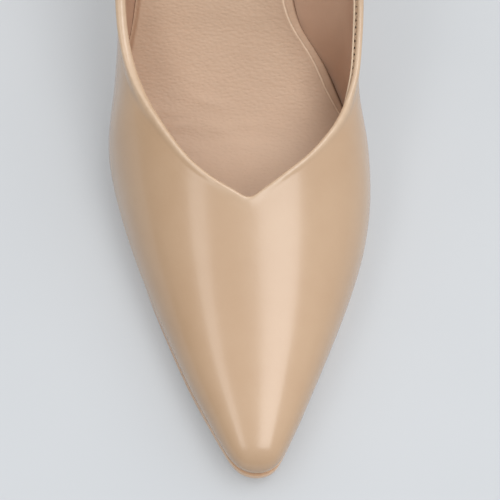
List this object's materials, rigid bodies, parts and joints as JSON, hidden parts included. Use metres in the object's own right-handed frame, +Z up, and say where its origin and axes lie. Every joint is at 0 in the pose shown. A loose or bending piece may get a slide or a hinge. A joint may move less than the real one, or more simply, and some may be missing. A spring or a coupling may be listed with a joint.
{
  "type": "high heel pump",
  "caption": "Right pointed-toe pump with V throat, lined leather upper, padded sock, thin sole and slim high heel with a wear tip.",
  "frame": {"origin": "bottom centre of the whole shoe's bounding box, on the floor it stands on", "axes": "+Z up, toe towards -Y and heel towards +Y, +X to the wearer's inner (big toe) side of this right shoe"},
  "size_m": [0.0813, 0.2452, 0.1393],
  "materials": {
    "upper_leather": "smooth nude calf, light gloss",
    "lining_leather": "matte pigskin-like lining",
    "suede": "napped suede heel grip",
    "stiffener": "resin fibre sheet",
    "tape": "woven nylon reinforcing tape",
    "thread": "matched polyester thread",
    "fibreboard": "pressed cellulose board",
    "steel": "plain steel",
    "cork": "cork filler sheet",
    "foam": "open-cell latex foam",
    "sock_leather": "soft matte goat leather",
    "sole_leather": "polished tan sole leather",
    "heel_plastic": "moulded ABS",
    "top_lift": "hard polyurethane top piece"
  },
  "bodies": {
    "root": {"vamp": "upper_leather", "quarter_lateral": "upper_leather", "quarter_medial": "upper_leather", "vamp_lining": "lining_leather", "quarter_lining_lateral": "lining_leather", "quarter_lining_medial": "lining_leather", "heel_grip": "suede", "toe_puff": "stiffener", "heel_counter": "stiffener", "topline_tape": "tape", "topline_stitching": "thread", "insole_board": "fibreboard", "shank_board": "fibreboard", "shank_steel": "steel", "shank_rivet_front": "steel", "shank_rivet_rear": "steel", "bottom_filler": "cork", "ball_pad": "foam", "heel_pad": "foam", "sock": "sock_leather", "outsole": "sole_leather", "heel_block": "heel_plastic", "heel_cover": "upper_leather", "heel_dowel": "steel", "heel_screw": "steel", "heel_nail_1": "steel", "heel_nail_2": "steel", "heel_nail_3": "steel", "heel_nail_4": "steel", "top_piece": "top_lift", "top_piece_pin": "steel"}
  },
  "joints": []
}
